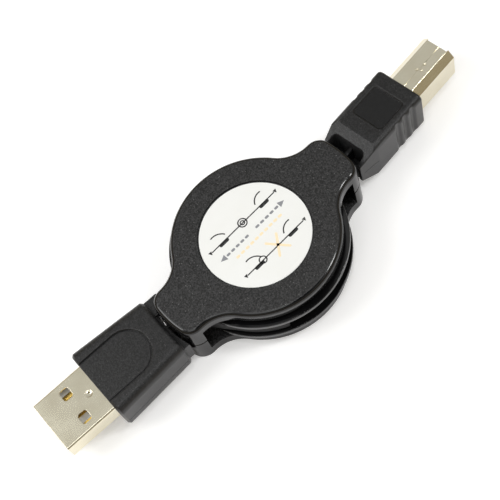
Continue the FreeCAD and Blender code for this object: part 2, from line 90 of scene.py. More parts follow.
def linear(hexColour):
    # sRGB hex to the linear colour that the shaders take
    channels = [int(hexColour[i:i + 2], 16) / 255 for i in (1, 3, 5)]
    return [c / 12.92 if c <= 0.04045 else ((c + 0.055) / 1.055) ** 2.4 for c in channels] + [1.0]


mixShare, mixLow, mixHigh, mixed = 0, 6, 7, 2  # a Mix node's share, its two colours and the colour it gives


def addNode(tree, kind, settings=None, links=None):
    # a node with its settings (sockets by name or number, properties by name) and its links
    node = tree.nodes.new(kind)
    for name, value in (settings or {}).items():
        if isinstance(name, int) or name in node.inputs:
            node.inputs[name].default_value = value
        else:
            setattr(node, name, value)
    for name, source in (links or {}).items():
        tree.links.new(source, node.inputs[name])
    return node


def startFinish(name, settings):
    finish = bpy.data.materials.new(name)
    finish.use_nodes = True
    shader = finish.node_tree.nodes["Principled BSDF"]
    for socket, value in settings.items():
        shader.inputs[socket].default_value = value
    return finish, finish.node_tree, shader


def mouldedPlastic(name, look, ior):
    # black plastic whose flat faces come from a spark-eroded mould and whose walls come from a polished one:
    # the flats are grey with a fine grain and pale flecks, which are painted glints on the grain, the walls
    # are deep black with clear highlights the grain is drawn at about twice its real size, so that it shows
    grit = {"size": 0.3, "cell": 0.26, "cellShare": 0.4, "from": 0.54, "to": 0.92, "depth": 0.06}
    dot = {"solid": 0.15, "edge": 0.4}  # a painted glint's radius as a share of its cell
    finish, tree, shader = startFinish(name, {"IOR": ior})
    place = addNode(tree, "ShaderNodeTexCoord")
    lean = addNode(tree, "ShaderNodeSeparateXYZ", None, {"Vector": place.outputs["Normal"]})
    level = addNode(tree, "ShaderNodeMath", {"operation": "ABSOLUTE"}, {0: lean.outputs["Z"]})
    flat = addNode(tree, "ShaderNodeMapRange",
                   {"From Min": look["wallUpTo"], "From Max": look["flatFrom"]},
                   {"Value": level.outputs[0]})
    grain = addNode(tree, "ShaderNodeTexNoise",
                    {"Scale": 1 / (grit["size"] * mm), "Detail": 2.0, "Roughness": 0.6},
                    {"Vector": place.outputs["Object"]})
    cells = addNode(tree, "ShaderNodeTexVoronoi", {"Scale": 1 / (grit["cell"] * mm)},
                    {"Vector": place.outputs["Object"]})
    draw = addNode(tree, "ShaderNodeSeparateColor", None, {"Color": cells.outputs["Color"]})
    speckle = addNode(tree, "ShaderNodeMath", {"operation": "MULTIPLY_ADD", 1: grit["cellShare"]},
                      {0: draw.outputs["Green"], 2: grain.outputs["Fac"]})
    stretch = addNode(tree, "ShaderNodeMapRange", {"From Min": grit["from"], "From Max": grit["to"]},
                      {"Value": speckle.outputs[0]})
    tone = addNode(tree, "ShaderNodeMix",
                   {"data_type": "RGBA", mixLow: linear(look["dark"]), mixHigh: linear(look["pale"])},
                   {mixShare: stretch.outputs[0]})
    # painted glints: a few grain cells get a pale spot, a painted highlight in place of the grain's own
    # glints
    glintCells = addNode(tree, "ShaderNodeMapRange", {"From Min": 1 - look["share"], "From Max": 1.0},
                  {"Value": draw.outputs["Red"]})
    spot = addNode(tree, "ShaderNodeMapRange",
                   {"From Min": dot["solid"], "From Max": dot["edge"], "To Min": 1.0, "To Max": 0.0},
                   {"Value": cells.outputs["Distance"]})
    paintedGlint = addNode(tree, "ShaderNodeMath", {"operation": "MULTIPLY"},
                    {0: glintCells.outputs[0], 1: spot.outputs[0]})
    glintPainted = addNode(tree, "ShaderNodeMix", {"data_type": "RGBA", mixHigh: linear(look["glintPaint"])},
                      {mixShare: paintedGlint.outputs[0], mixLow: tone.outputs[mixed]})
    colour = addNode(tree, "ShaderNodeMix", {"data_type": "RGBA", mixLow: linear(look["wall"])},
                     {mixShare: flat.outputs[0], mixHigh: glintPainted.outputs[mixed]})
    tree.links.new(colour.outputs[mixed], shader.inputs["Base Color"])
    rough = addNode(tree, "ShaderNodeMapRange", {"To Min": look["gloss"], "To Max": look["matt"]},
                    {"Value": flat.outputs[0]})
    tree.links.new(rough.outputs[0], shader.inputs["Roughness"])
    height = addNode(tree, "ShaderNodeMath", {"operation": "MULTIPLY", 1: look["bump"]}, {0: flat.outputs[0]})
    bump = addNode(tree, "ShaderNodeBump", {"Distance": grit["depth"] * mm},
                   {"Height": grain.outputs["Fac"], "Strength": height.outputs[0]})
    tree.links.new(bump.outputs["Normal"], shader.inputs["Normal"])
    return finish


def grainedAbs():
    # ABS covers: coarse grain with pale flecks as painted glints on the plates, polished rims and posts
    look = {"dark": "#020202", "pale": "#343435", "glintPaint": "#7A7A7A", "wall": "#0D0D0E", "share": 0.12,
            "gloss": 0.12, "matt": 0.44, "bump": 0.9, "wallUpTo": 0.93, "flatFrom": 0.99}
    return mouldedPlastic("grainedAbs", look, 1.46)


def satinPvc():
    # PVC overmoulding: a matt grain with pale flecks as painted glints on top that reaches round the
    # shoulders, and smooth satin flanks whose colour is painted lighter than the top, a painted sheen for the
    # light they catch
    look = {"dark": "#020202", "pale": "#222223", "glintPaint": "#505050", "wall": "#303031", "share": 0.1,
            "gloss": 0.3, "matt": 0.42, "bump": 0.9, "wallUpTo": 0.45, "flatFrom": 0.85}
    return mouldedPlastic("satinPvc", look, 1.45)


def polishedPvc():
    # PVC from a polished patch of the mould: darker and clearer than the grain round it, with a few pale
    # flecks as painted glints
    look = {"dark": "#020202", "pale": "#0E0E0F", "glintPaint": "#303030", "wall": "#0B0B0C", "share": 0.04,
            "gloss": 0.22, "matt": 0.24, "bump": 0.3, "wallUpTo": 0.45, "flatFrom": 0.85}
    return mouldedPlastic("polishedPvc", look, 1.45)


def smoothAbs():
    # ABS from a polished mould: deep black with clear highlights, dulled a little by handling
    look = {"smudge": 3.0, "black": "#0E0E0F", "clean": 0.1, "handled": 0.18}
    finish, tree, shader = startFinish("smoothAbs", {"Base Color": linear(look["black"]), "IOR": 1.54})
    place = addNode(tree, "ShaderNodeTexCoord").outputs["Object"]
    smudge = addNode(tree, "ShaderNodeTexNoise", {"Scale": 1 / (look["smudge"] * mm), "Detail": 4.0},
                     {"Vector": place})
    rough = addNode(tree, "ShaderNodeMapRange", {"To Min": look["clean"], "To Max": look["handled"]},
                    {"Value": smudge.outputs["Fac"]})
    tree.links.new(rough.outputs[0], shader.inputs["Roughness"])
    return finish


def twoTone(name, settings, look):
    # a finish in two close tones that a noise of a given size mixes; gives back what a bump or a gloss needs
    finish, tree, shader = startFinish(name, settings)
    place = addNode(tree, "ShaderNodeTexCoord").outputs["Object"]
    noise = addNode(tree, "ShaderNodeTexNoise", {"Scale": 1 / (look["size"] * mm), "Detail": look["detail"]},
                    {"Vector": place})
    tone = addNode(tree, "ShaderNodeMix",
                   {"data_type": "RGBA", mixLow: linear(look["low"]), mixHigh: linear(look["high"])},
                   {mixShare: noise.outputs["Fac"]})
    tree.links.new(tone.outputs[mixed], shader.inputs["Base Color"])
    return finish, tree, shader, place, noise.outputs["Fac"]


def ribbedJacket():
    # PVC jacket of a flat four-wire cable: black, scuffed a little, with a shallow rib over each wire
    look = {"low": "#0A0A0B", "high": "#131314", "size": 0.6, "detail": 4.0, "rib": 0.85, "depth": 0.12}
    finish, tree, shader, place, _ = twoTone("ribbedJacket", {"Roughness": 0.5, "IOR": 1.45}, look)
    # one sine wave to a rib: the Wave texture makes a band in every 2 pi / 20 of its scale
    ribs = addNode(tree, "ShaderNodeTexWave",
                   {"bands_direction": "Z", "Scale": math.pi / 10 / (look["rib"] * mm)}, {"Vector": place})
    bump = addNode(tree, "ShaderNodeBump", {"Strength": 0.8, "Distance": look["depth"] * mm},
                   {"Height": ribs.outputs["Fac"]})
    tree.links.new(bump.outputs["Normal"], shader.inputs["Normal"])
    return finish


def nickelPlate():
    # bright nickel over drawn steel strip: a warm champagne mirror, blurred along the drawing lines
    look = {"low": "#DAD2BA", "high": "#E4DFCB", "size": 4.0, "detail": 3.0, "line": 0.09, "depth": 0.01,
            "drawn": (0.03, 1, 1), "bright": 0.14, "dull": 0.24}
    finish, tree, shader, place, film = twoTone("nickelPlate", {"Metallic": 1.0}, look)
    along = addNode(tree, "ShaderNodeMapping", {"Scale": look["drawn"]}, {"Vector": place})
    lines = addNode(tree, "ShaderNodeTexNoise", {"Scale": 1 / (look["line"] * mm), "Detail": 2.0},
                    {"Vector": along.outputs[0]})
    rough = addNode(tree, "ShaderNodeMapRange", {"To Min": look["bright"], "To Max": look["dull"]},
                    {"Value": film})
    tree.links.new(rough.outputs[0], shader.inputs["Roughness"])
    bump = addNode(tree, "ShaderNodeBump", {"Strength": 0.1, "Distance": look["depth"] * mm},
                   {"Height": lines.outputs["Fac"]})
    tree.links.new(bump.outputs["Normal"], shader.inputs["Normal"])
    return finish


def goldFlash():
    # gold flash on phosphor bronze blades: a yellow mirror with fine stamping marks
    look = {"low": "#F3C861", "high": "#FFE28E", "size": 0.12, "detail": 2.0}
    return twoTone("goldFlash", {"Metallic": 1.0, "Roughness": 0.26}, look)[0]


def whiteNylon():
    # glass-filled nylon insulator: chalky white with a faint flow pattern
    look = {"low": "#E9E9E4", "high": "#F4F4F1", "size": 0.8, "detail": 3.0}
    return twoTone("whiteNylon", {"Roughness": 0.5, "IOR": 1.53}, look)[0]


def labelFilm():
    # white vinyl film with a semi-gloss face, not quite flat over its glue
    look = {"low": "#ECEDEA", "high": "#F1F2F1", "size": 5.0, "detail": 2.0, "depth": 0.15}
    finish, tree, shader, _, ripple = twoTone("labelFilm", {"Roughness": 0.32, "IOR": 1.5}, look)
    bump = addNode(tree, "ShaderNodeBump", {"Strength": 0.2, "Distance": look["depth"] * mm},
                   {"Height": ripple})
    tree.links.new(bump.outputs["Normal"], shader.inputs["Normal"])
    return finish


def screenInk(name, colour, thin):
    # screen-printed ink: a flat colour that thins out in fine pinholes
    look = {"low": colour, "high": thin, "size": 0.25, "detail": 2.0}
    return twoTone(name, {"Roughness": 0.4, "IOR": 1.5}, look)[0]


def rolledSteel(name, pale, dark, roughness):
    # cold-rolled steel: grey, with fine rolling marks
    look = {"low": dark, "high": pale, "size": 0.15, "detail": 3.0}
    return twoTone(name, {"Metallic": 1.0, "Roughness": roughness}, look)[0]


finishes = {
    "cover": grainedAbs(),
    "spool": smoothAbs(),
    "plug": satinPvc(),
    "panel": polishedPvc(),
    "cable": ribbedJacket(),
    "nickel": nickelPlate(),
    "gold": goldFlash(),
    "nylon": whiteNylon(),
    "label": labelFilm(),
    "blackInk": screenInk("blackInk", "#1A1A1A", "#2C2C2C"),
    "greyInk": screenInk("greyInk", "#83858A", "#93959A"),
    "orangeInk": screenInk("orangeInk", "#FBE3B8", "#FBEACB"),
    "spring": rolledSteel("springSteel", "#8E9298", "#6F757D", 0.35),
    "steel": rolledSteel("plainSteel", "#B9B9B7", "#9A9A98", 0.3),
}
print("finishes:", len(finishes))


def activate(piece):
    bpy.ops.object.select_all(action="DESELECT")
    piece.select_set(True)
    bpy.context.view_layer.objects.active = piece


def enterEdit(piece, kind="FACE", action="SELECT"):
    activate(piece)
    bpy.ops.object.mode_set(mode="EDIT")
    bpy.ops.mesh.select_mode(type=kind)
    bpy.ops.mesh.select_all(action=action)


def leaveEdit():
    bpy.ops.object.mode_set(mode="OBJECT")


def pickCorners(piece, test):
    # in edit mode, selects the corners whose place, in mm, passes a test
    shape = bmesh.from_edit_mesh(piece.data)
    for corner in shape.verts:
        corner.select_set(test(corner.co / mm))
    bmesh.update_edit_mesh(piece.data)


def faceOut():
    # in edit mode, turns all faces outwards
    bpy.ops.mesh.select_all(action="SELECT")
    bpy.ops.mesh.normals_make_consistent(inside=False)


def raiseFlat(height):
    # in edit mode, gives a flat shape its height and closes it
    bpy.ops.mesh.select_all(action="SELECT")
    bpy.ops.mesh.extrude_region_move(TRANSFORM_OT_translate={"value": (0, 0, height * mm)})
    faceOut()
    leaveEdit()


def settle(name, size=(1, 1, 1)):
    # names the primitive just added and puts its place, turn and size into its mesh
    piece = bpy.context.object
    piece.name = name
    piece.scale = size
    bpy.ops.object.transform_apply(location=True, rotation=True, scale=True)
    return piece


def addBlock(name, place, size, turn=0.0):
    bpy.ops.object.select_all(action="DESELECT")
    bpy.ops.mesh.primitive_cube_add(size=mm, location=Vector(place) * mm, rotation=(0, 0, turn))
    return settle(name, size)


def addFlat(name, place, size, turn=0.0):
    bpy.ops.object.select_all(action="DESELECT")
    bpy.ops.mesh.primitive_plane_add(size=mm, location=Vector(place) * mm, rotation=(0, 0, turn))
    return settle(name, (size[0], size[1], 1))


def addBall(name, place, radius, segments=40, rings=48):
    bpy.ops.object.select_all(action="DESELECT")
    bpy.ops.mesh.primitive_uv_sphere_add(segments=segments, ring_count=rings, radius=radius * mm,
                                         location=Vector(place) * mm)
    return settle(name)


def addDisc(name, place, radius, height, corners):
    bpy.ops.object.select_all(action="DESELECT")
    bpy.ops.mesh.primitive_cylinder_add(vertices=corners, radius=radius * mm, depth=height * mm,
                                        location=Vector(place) * mm)
    return settle(name)


def cutAway(piece, cutter):
    # takes the cutter's shape out of a piece
    activate(piece)
    cut = piece.modifiers.new("cutAway", "BOOLEAN")
    cut.object = cutter
    cut.operation = "DIFFERENCE"
    cut.solver = "EXACT"
    bpy.ops.object.modifier_apply(modifier=cut.name)
    bpy.data.objects.remove(cutter)


def cadCopy(node, name):
    # a welded copy of a CAD node with its flat faces made whole, ready for softer edges
    piece = bpy.data.objects.new(name, frame["nodes"][node].data.copy())
    bpy.context.scene.collection.objects.link(piece)
    activate(piece)
    bpy.ops.mesh.customdata_custom_splitnormals_clear()
    enterEdit(piece)
    bpy.ops.mesh.remove_doubles(threshold=weld * mm)
    bpy.ops.mesh.dissolve_limited(angle_limit=flatAngle)
    leaveEdit()
    return piece


def closeSkin(piece):
    # merges what a bevel left doubled, so that the mesh stays one closed skin
    mostSides = 8  # larger holes are meant
    enterEdit(piece)
    bpy.ops.mesh.remove_doubles(threshold=weld * mm)
    bpy.ops.mesh.dissolve_degenerate(threshold=weld * mm)
    bpy.ops.mesh.select_all(action="SELECT")
    bpy.ops.mesh.fill_holes(sides=mostSides)
    faceOut()
    leaveEdit()


def softenEdges(piece, radius, steps=3, fineCuts=None, sharpest=30, clamp=True):
    # rounds every edge sharper than an angle, makes the fine cuts after that, and keeps the flats flat;
    # with no clamp, the rounding keeps its full width though the piece has some short edges
    activate(piece)
    bevel = piece.modifiers.new("softEdges", "BEVEL")
    bevel.width = radius * mm
    bevel.segments = steps
    bevel.limit_method = "ANGLE"
    bevel.angle_limit = math.radians(sharpest)
    bevel.use_clamp_overlap = clamp
    bpy.ops.object.modifier_apply(modifier=bevel.name)
    closeSkin(piece)
    if fineCuts:
        fineCuts(piece)
    bpy.ops.object.shade_smooth_by_angle(angle=smoothAngle)
    flats = piece.modifiers.new("flats", "WEIGHTED_NORMAL")
    flats.keep_sharp = True
    bpy.ops.object.modifier_apply(modifier=flats.name)


def roundRim(piece, radius, steps, test, uprightOnly=False):
    # rounds only the edges whose two ends pass a test of place, in mm, or only the upright ones of them
    rim = {"angle": 0.4, "climb": 0.9}  # in radians, and as a share of an upright edge's length
    enterEdit(piece, "EDGE", "DESELECT")
    shape = bmesh.from_edit_mesh(piece.data)
    for edge in shape.edges:
        inPlace = all(test(corner.co / mm) for corner in edge.verts)
        sharp = edge.calc_face_angle(0) > rim["angle"]
        climb = abs(edge.verts[0].co.z - edge.verts[1].co.z)
        upright = climb > rim["climb"] * edge.calc_length()
        edge.select_set(inPlace and sharp and (upright or not uprightOnly))
    bmesh.update_edit_mesh(piece.data)
    bpy.ops.mesh.bevel(offset=radius * mm, segments=steps, affect="EDGES")
    leaveEdit()


def finishPiece(piece, body, slot, finish, *nodes):
    piece.data.materials.clear()
    piece.data.materials.append(finishes[finish])
    if body:
        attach(piece, body)
    if nodes:
        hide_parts(*nodes)


def roundPosts(piece):
    # the posts at the ears meet in a soft joint line halfway up
    joint = {"level": coverMiddle, "radius": 0.3, "steps": 3, "inside": 17.3}

    def onJoint(place):
        return abs(place.z - joint["level"]) < levelSlack and place.xy.length > joint["inside"]

    roundRim(piece, joint["radius"], joint["steps"], onJoint)


def roundTopCover(piece):
    # the plate's outer edge is rolled over, not chamfered
    edge = {"radius": 0.36, "steps": 5, "low": 12.55, "inside": 12.0}

    def onEdge(place):
        return place.z > edge["low"] and place.xy.length > edge["inside"]

    roundRim(piece, edge["radius"], edge["steps"], onEdge)
    roundPosts(piece)


def dentPlug(piece, plug, back, left, top, dent):
    # presses a round dent of a given radius and depth into a plug's top
    ball = (dent["radius"] ** 2 + dent["depth"] ** 2) / (2 * dent["depth"])
    cutAway(piece, addBall("dent", onPlug(plug, back, left, top + ball - dent["depth"]), ball))


def stampShellA(piece):
    # the round latch dent behind the windows, with a hole in it
    dent = {"back": 9.75, "top": 2.25, "radius": 0.8, "depth": 0.2}
    hole = {"back": 0.2, "left": -0.25, "radius": 0.24, "height": 2.0, "corners": 20}
    dentPlug(piece, "a", dent["back"], 0, dent["top"], dent)
    place = onPlug("a", dent["back"] + hole["back"], hole["left"], dent["top"])
    cutAway(piece, addDisc("hole", place, hole["radius"], hole["height"], hole["corners"]))


def stampShellB(piece):
    # the seam where the folded strip meets, and the three punch marks that hold it
    seam = {"left": -0.55, "width": 0.12, "depth": 0.08, "from": 0.2, "to": 12.3, "top": 3.63}
    mark = {"places": ((5.5, -0.7), (7.3, -0.15), (6.95, -1.1)), "radius": 0.3, "depth": 0.16}
    length = seam["to"] - seam["from"]
    middle = onPlug("b", seam["from"] + length / 2, seam["left"], seam["top"])
    cutAway(piece, addBlock("seam", middle, (length, seam["width"], 2 * seam["depth"]), heading("b")))
    for back, left in mark["places"]:
        dentPlug(piece, "b", back, left, seam["top"], mark)


def panelLine():
    # a cutter for the line moulded round plug A's panel: a flat with a round end, made a ring and raised
    line = {"front": 9.75, "apex": 25.2, "half": 5.2, "width": 0.4, "floor": 3.93, "height": 2.0,
            "round": 0.998, "steps": 16}  # just under a full round, so that the two corners stay apart
    length = line["apex"] - line["front"]
    middle = onPlug("a", (line["apex"] + line["front"]) / 2, 0, line["floor"])
    cutter = addFlat("panelLine", middle, (length, 2 * line["half"]), heading("a"))
    enterEdit(cutter, "VERT", "DESELECT")
    pickCorners(cutter, lambda place: fromTip("a", place)[0] > line["apex"] - levelSlack)
    bpy.ops.mesh.bevel(offset=line["round"] * line["half"] * mm, segments=line["steps"], affect="VERTICES")
    bpy.ops.mesh.select_mode(type="FACE")
    bpy.ops.mesh.select_all(action="SELECT")
    bpy.ops.mesh.inset(thickness=line["width"] * mm, use_even_offset=True)
    bpy.ops.mesh.delete(type="FACE")
    raiseFlat(line["height"])
    return cutter


def roundBodyA(piece):
    # the panel's edge runs out softly
    panel = {"top": 4.5, "half": 5.3, "radius": 0.3, "steps": 3}

    def onPanel(place):
        left, up = fromTip("a", place)[1:]
        return abs(up - panel["top"]) < levelSlack and abs(left) < panel["half"]

    roundRim(piece, panel["radius"], panel["steps"], onPanel)


def partBodyA(piece):
    # the line round the panel, and the mould's parting line along both flanks
    line = {"up": -1.2, "width": 0.1, "depth": 0.07, "halfBack": 7.15, "halfFront": 8.35, "from": 11.75,
            "length": 17.3, "overrun": 2}
    cutAway(piece, panelLine())
    taper = math.atan((line["halfFront"] - line["halfBack"]) / line["length"])
    middle = line["from"] + line["length"] / 2
    half = (line["halfBack"] + line["halfFront"]) / 2
    size = (line["length"] + line["overrun"], 2 * line["depth"], line["width"])
    for side in (1, -1):
        place = onPlug("a", middle, side * half, line["up"])
        cutAway(piece, addBlock("parting", place, size, heading("a") + side * taper))


# the notch in plug B's back that the cable lies in
notch = {"half": 4.05, "front": 28.6, "past": 32.0, "through": 8, "corner": 1.1, "steps": 6}


def notchSpace(name, half, back, low, high):
    # the notch's shape between two levels, with round inner corners
    middle = onPlug("b", (notch["front"] + back) / 2, 0, (low + high) / 2)
    piece = addBlock(name, middle, (back - notch["front"], 2 * half, high - low), heading("b"))

    def inner(place):
        return fromTip("b", place)[0] < notch["front"] + levelSlack

    roundRim(piece, notch["corner"], notch["steps"], inner, True)
    return piece


def roundBodyB(piece):
    # the wider notch, and soft edges at the front and round the panel
    front = {"back": 12.3, "outside": 4.4, "radius": 0.6, "steps": 4}
    panel = {"top": 5.2, "from": 15.4, "to": 24, "half": 3.9, "radius": 0.32, "steps": 3}

    def onFront(place):
        back, left, up = fromTip("b", place)
        return abs(back - front["back"]) < levelSlack and max(abs(left), abs(up)) > front["outside"]

    def onPanel(place):
        back, left, up = fromTip("b", place)
        inside = abs(left) < panel["half"] and panel["from"] < back < panel["to"]
        return inside and abs(up - panel["top"]) < levelSlack

    cutAway(piece, notchSpace("notch", notch["half"], notch["past"], -notch["through"], notch["through"]))
    roundRim(piece, front["radius"], front["steps"], onFront)
    roundRim(piece, panel["radius"], panel["steps"], onPanel)


def partBodyB(piece):
    # behind the finger grooves, a short parting line on each flank
    line = {"up": -0.15, "width": 0.12, "depth": 0.14, "half": 5.353, "from": 26.8, "to": 30.6}
    flank = {"narrows": 0.8, "over": 4.95}
    taper = math.atan(flank["narrows"] / flank["over"])
    size = (line["to"] - line["from"], 2 * line["depth"], line["width"])
    for side in (1, -1):
        place = onPlug("b", (line["from"] + line["to"]) / 2, side * line["half"], line["up"])
        cutAway(piece, addBlock("parting", place, size, heading("b") + side * taper))


# moulded and folded pieces: the CAD form with the small cuts and soft edges of a real mould or press
softPieces = {
    "topCover": {
        "node": "top_cover", "body": "housing", "slot": "cover_abs", "finish": "cover",
        "radius": 0.2, "shape": roundTopCover,
    },
    "bottomCover": {
        "node": "bottom_cover", "body": "housing", "slot": "cover_abs", "finish": "cover",
        "radius": 0.2, "shape": roundPosts,
    },
    "spoolBody": {
        "node": "spool", "body": "spool", "slot": "spool_plastic", "finish": "spool",
        "radius": 0.15,
    },
    "plugABody": {
        "node": "plug_a_overmould", "body": "plug_a", "slot": "plug_pvc", "finish": "plug",
        "radius": 0.16, "shape": roundBodyA, "cuts": partBodyA,
    },
    "plugBBody": {
        "node": "plug_b_overmould", "body": "plug_b", "slot": "plug_pvc", "finish": "plug",
        "radius": 0.22, "shape": roundBodyB, "cuts": partBodyB, "sharpest": 35, "clamp": False,
    },
    "plugAShell": {
        "node": "plug_a_shell", "body": "plug_a", "slot": "nickel_plate", "finish": "nickel",
        "radius": 0.08, "cuts": stampShellA,
    },
    "plugBShell": {
        "node": "plug_b_shell", "body": "plug_b", "slot": "nickel_plate", "finish": "nickel",
        "radius": 0.06, "cuts": stampShellB,
    },
}
for name, make in softPieces.items():
    piece = cadCopy(make["node"], name)
    if "shape" in make:
        make["shape"](piece)
    choices = {key: make[key] for key in ("sharpest", "clamp") if key in make}
    softenEdges(piece, make["radius"], fineCuts=make.get("cuts"), **choices)
    finishPiece(piece, make["body"], make["slot"], make["finish"], make["node"])
    print("softened:", name, len(piece.data.polygons), "faces")


def makeProngTip():
    # the far prong of plug A reaches round the ear's corner
    tip = {"back": (28.6, 32.2), "left": (-6.4, -2.6), "up": (-2.5, 3.2), "soft": 0.15}
    ear = {"end": 24.36, "half": 6.16, "height": 20, "corner": 3.26, "steps": 10}
    middle = [(tip[key][0] + tip[key][1]) / 2 for key in ("back", "left", "up")]
    size = [tip[key][1] - tip[key][0] for key in ("back", "left", "up")]
    piece = addBlock("prongTip", onPlug("a", *middle), size, heading("a"))
    earSize = (ear["end"], 2 * ear["half"], ear["height"])
    room = addBlock("earRoom", (-ear["end"] / 2, 0, coverMiddle), earSize)
    roundRim(room, ear["corner"], ear["steps"], lambda place: place.x < levelSlack - ear["end"], True)
    cutAway(piece, room)
    softenEdges(piece, tip["soft"])
    finishPiece(piece, "plug_a", "plug_pvc", "plug")


def makeNotchFloor():
    # the web under the cable that closes the notch from below
    web = {"half": 4.15, "back": 31.3, "low": -2.6, "top": -2.0, "soft": 0.1, "steps": 2}
    piece = notchSpace("notchFloor", web["half"], web["back"], web["low"], web["top"])
    softenEdges(piece, web["soft"], web["steps"])
    finishPiece(piece, "plug_b", "plug_pvc", "plug")


def makePanelInlay():
    # the polished floor of plug B's panel
    inlay = {"back": 19.45, "half": 3.6, "low": 4.83, "high": 4.9, "corner": 0.7, "cornerSteps": 5,
             "soft": 0.03, "softSteps": 2}
    middle = onPlug("b", inlay["back"], 0, (inlay["low"] + inlay["high"]) / 2)
    size = (2 * inlay["half"], 2 * inlay["half"], inlay["high"] - inlay["low"])
    piece = addBlock("panelInlay", middle, size, heading("b"))
    roundRim(piece, inlay["corner"], inlay["cornerSteps"], lambda place: True, True)
    softenEdges(piece, inlay["soft"], inlay["softSteps"])
    finishPiece(piece, "plug_b", "plug_pvc", "panel")


def makeLabel():
    # the film is a little smaller than its recess, so a dark line runs round it
    film = {"radius": 11.28, "edge": 0.05, "steps": 2}
    piece = cadCopy("label", "labelFilm")
    share = film["radius"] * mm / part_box("label")[1].x
    piece.scale = (share, share, 1)
    bpy.ops.object.transform_apply(location=True, rotation=True, scale=True)
    softenEdges(piece, film["edge"], film["steps"])
    finishPiece(piece, "housing", "label_film", "label", "label")


def makeWinding():
    # the wound cable: the sections of its flat turns side by side, spun round the reel's axis
    turns = {"thick": 0.9, "pitch": 0.92, "count": 8, "round": 0.3, "roundSteps": 3, "steps": 72}
    tall = windingHigh.z - windingLow.z
    place = Vector((windingHigh.x - turns["thick"] / 2, 0, cableMiddle)) * mm
    bpy.ops.object.select_all(action="DESELECT")
    bpy.ops.mesh.primitive_plane_add(size=mm, location=place, rotation=(math.pi / 2, 0, 0))
    piece = settle("cableTurns", (turns["thick"], tall, 1))
    row = piece.modifiers.new("row", "ARRAY")
    row.count = turns["count"]
    row.use_relative_offset = False
    row.use_constant_offset = True
    row.constant_offset_displace = (-turns["pitch"] * mm, 0, 0)
    bpy.ops.object.modifier_apply(modifier=row.name)
    enterEdit(piece)
    bpy.ops.mesh.bevel(offset=turns["round"] * mm, segments=turns["roundSteps"], affect="VERTICES")
    bpy.ops.mesh.delete(type="ONLY_FACE")
    bpy.ops.mesh.select_all(action="SELECT")
    bpy.ops.mesh.spin(steps=turns["steps"], angle=2 * math.pi, center=(0, 0, 0), axis=(0, 0, 1))
    bpy.ops.mesh.select_all(action="SELECT")
    bpy.ops.mesh.remove_doubles(threshold=weld * mm)
    bpy.ops.mesh.normals_make_consistent(inside=False)
    leaveEdit()
    bpy.ops.object.shade_smooth_by_angle(angle=smoothAngle)
    finishPiece(piece, "spool", "cable_pvc", "cable", "cable_winding")
    print("winding:", turns["count"], "turns")


# each tail leaves the reel at start and reaches its plug at end
leads = {
    "leadA": {"node": "cable_lead_a", "plug": "plug_a", "start": (-22.6, 1.3), "end": (-25.0, 1.3)},
    "leadB": {"node": "cable_lead_b", "plug": "plug_b", "start": (22.6, 0.6), "end": (27.0, 0.6)},
}


def makeLead(name, node, start, end):
    # a cable tail, cut across so that it can run out between its start and its end
    lead = {"round": 0.3, "cuts": 12}
    piece = cadCopy(node, name)
    softenEdges(piece, lead["round"])
    enterEdit(piece)
    for index in range(lead["cuts"]):
        share = (index + 0.5) / lead["cuts"]
        cut = Vector((start[0] + (end[0] - start[0]) * share, 0, 0)) * mm
        bpy.ops.mesh.select_all(action="SELECT")
        bpy.ops.mesh.bisect(plane_co=cut, plane_no=(1, 0, 0))
    leaveEdit()
    finishPiece(piece, None, "cable_pvc", "cable", node)
    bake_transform(piece)


ink = {"lift": 0.004, "thick": 0.02, "endRound": 0.45, "endSteps": 3, "ringCorners": 32, "arcStart": 0.05,
       "arcSteps": 14}


def inkSpot(place):
    # a place on the label's face
    return Vector((place[0], place[1], labelTop + ink["lift"]))


def inkBar(first, last, width):
    # a line with round ends
    way = Vector(last) - Vector(first)
    middle = (Vector(first) + Vector(last)) / 2
    mark = addFlat("mark", inkSpot(middle), (way.length, width), math.atan2(way.y, way.x))
    enterEdit(mark)
    bpy.ops.mesh.bevel(offset=ink["endRound"] * width * mm, segments=ink["endSteps"], affect="VERTICES")
    raiseFlat(ink["thick"])
    return mark


def inkRing(centre, outer, inner):
    bpy.ops.object.select_all(action="DESELECT")
    spot = inkSpot(centre) * mm
    bpy.ops.mesh.primitive_circle_add(vertices=ink["ringCorners"], radius=inner * mm, fill_type="NOTHING",
                                      location=spot)
    mark = settle("mark")
    enterEdit(mark, "EDGE")
    bpy.ops.mesh.extrude_edges_move()
    bpy.ops.transform.resize(value=(outer / inner, outer / inner, 1), center_override=spot)
    raiseFlat(ink["thick"])
    return mark


def inkArc(centre, radius, first, last, width):
    # a curved line: a short edge across it, spun from one angle, in degrees, to another
    angle = math.radians(first)
    start = (centre[0] + radius * math.cos(angle), centre[1] + radius * math.sin(angle))
    mark = addFlat("mark", inkSpot(start), (width, ink["arcStart"]), angle)
    ahead = Vector((-math.sin(angle), math.cos(angle), 0)) * (1 if last > first else -1)
    enterEdit(mark, "EDGE", "DESELECT")
    shape = bmesh.from_edit_mesh(mark.data)
    front = max(shape.edges, key=lambda edge: (edge.verts[0].co + edge.verts[1].co).dot(ahead))
    front.select_set(True)
    bmesh.update_edit_mesh(mark.data)
    bpy.ops.mesh.spin(steps=ink["arcSteps"], angle=math.radians(last - first), center=inkSpot(centre) * mm,
                      axis=(0, 0, 1))
    raiseFlat(ink["thick"])
    return mark


def inkHead(tip, turn, length, width):
    # an arrowhead: one end of a flat drawn in to a point
    way = Vector((math.cos(turn), math.sin(turn)))
    middle = Vector(tip) - way * length / 2
    mark = addFlat("mark", inkSpot(middle), (length, width), turn)
    enterEdit(mark, "VERT", "DESELECT")
    pickCorners(mark, lambda place: (place.xy - middle).dot(way) > 0)
    bpy.ops.mesh.merge(type="CENTER")
    raiseFlat(ink["thick"])
    return mark


